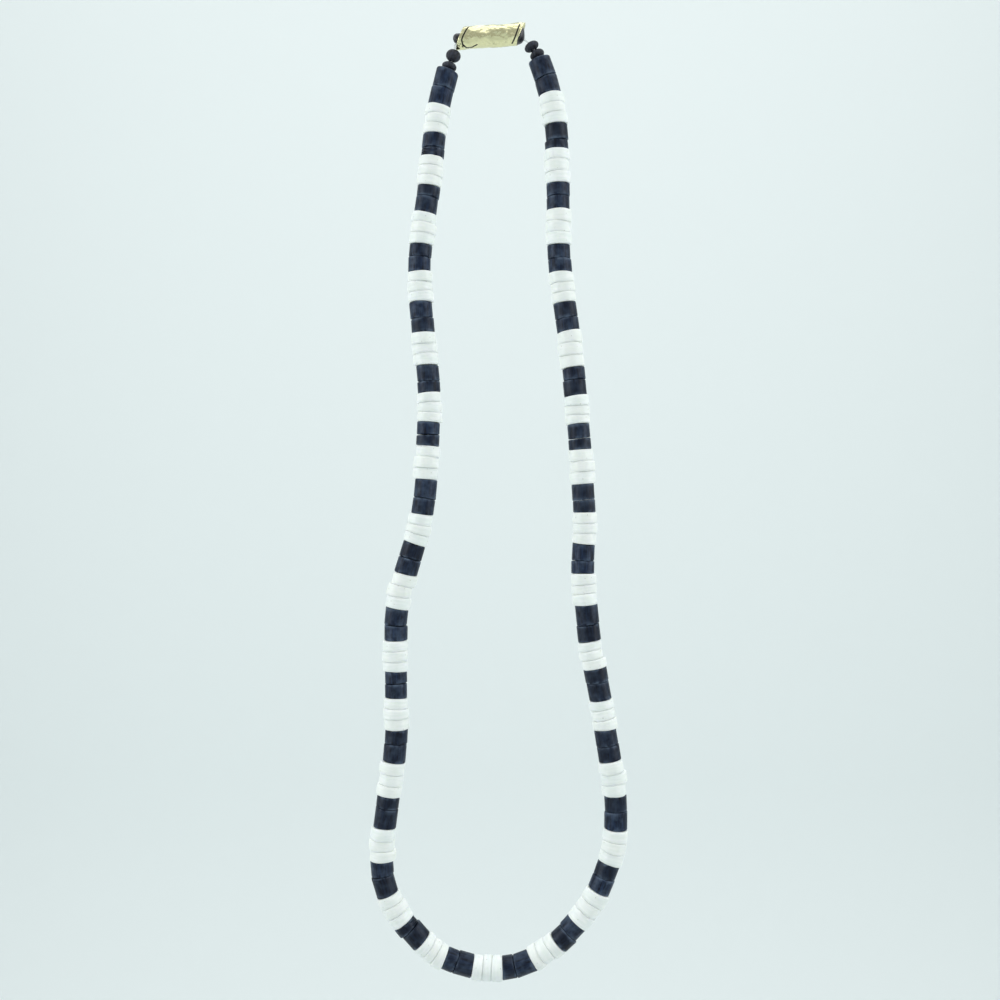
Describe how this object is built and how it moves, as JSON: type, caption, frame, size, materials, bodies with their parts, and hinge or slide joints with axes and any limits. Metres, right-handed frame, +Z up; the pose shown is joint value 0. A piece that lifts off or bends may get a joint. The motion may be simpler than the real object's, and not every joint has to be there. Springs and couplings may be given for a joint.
{
  "type": "shell necklace",
  "caption": "Closed string of black tube beads and white shell discs on clear thread, hanging from a barrel clasp that is wrapped in gold foil.",
  "frame": {"origin": "the lowest line of the foil sleeve above which the clasp hangs, where it rests on a round peg", "axes": "+Z up; +X to the right seen from the front; the front looks along -Y; the string lies in the plane y = 0"},
  "size_m": [0.057, 0.006, 0.2107],
  "materials": {
    "clear_nylon": "smooth clear monofilament",
    "black_coconut": "dyed black coconut shell, sanded matt, fine lengthwise grain",
    "white_shell": "tumbled white shell, satin, faintly translucent",
    "black_wood": "dyed black and waxed, satin",
    "black_lacquered_brass": "black lacquer, satin",
    "gold_foil": "pale gold metallised film, crinkled"
  },
  "bodies": {
    "root": {"thread": "clear_nylon", "coco_beads": "black_coconut", "shell_beads": "white_shell", "rondelle_left_upper": "black_wood", "rondelle_left_lower": "black_wood", "rondelle_right_upper": "black_wood", "rondelle_right_lower": "black_wood", "clasp_socket": "black_lacquered_brass", "clasp_screw": "black_lacquered_brass", "foil_sleeve": "gold_foil"}
  },
  "joints": []
}
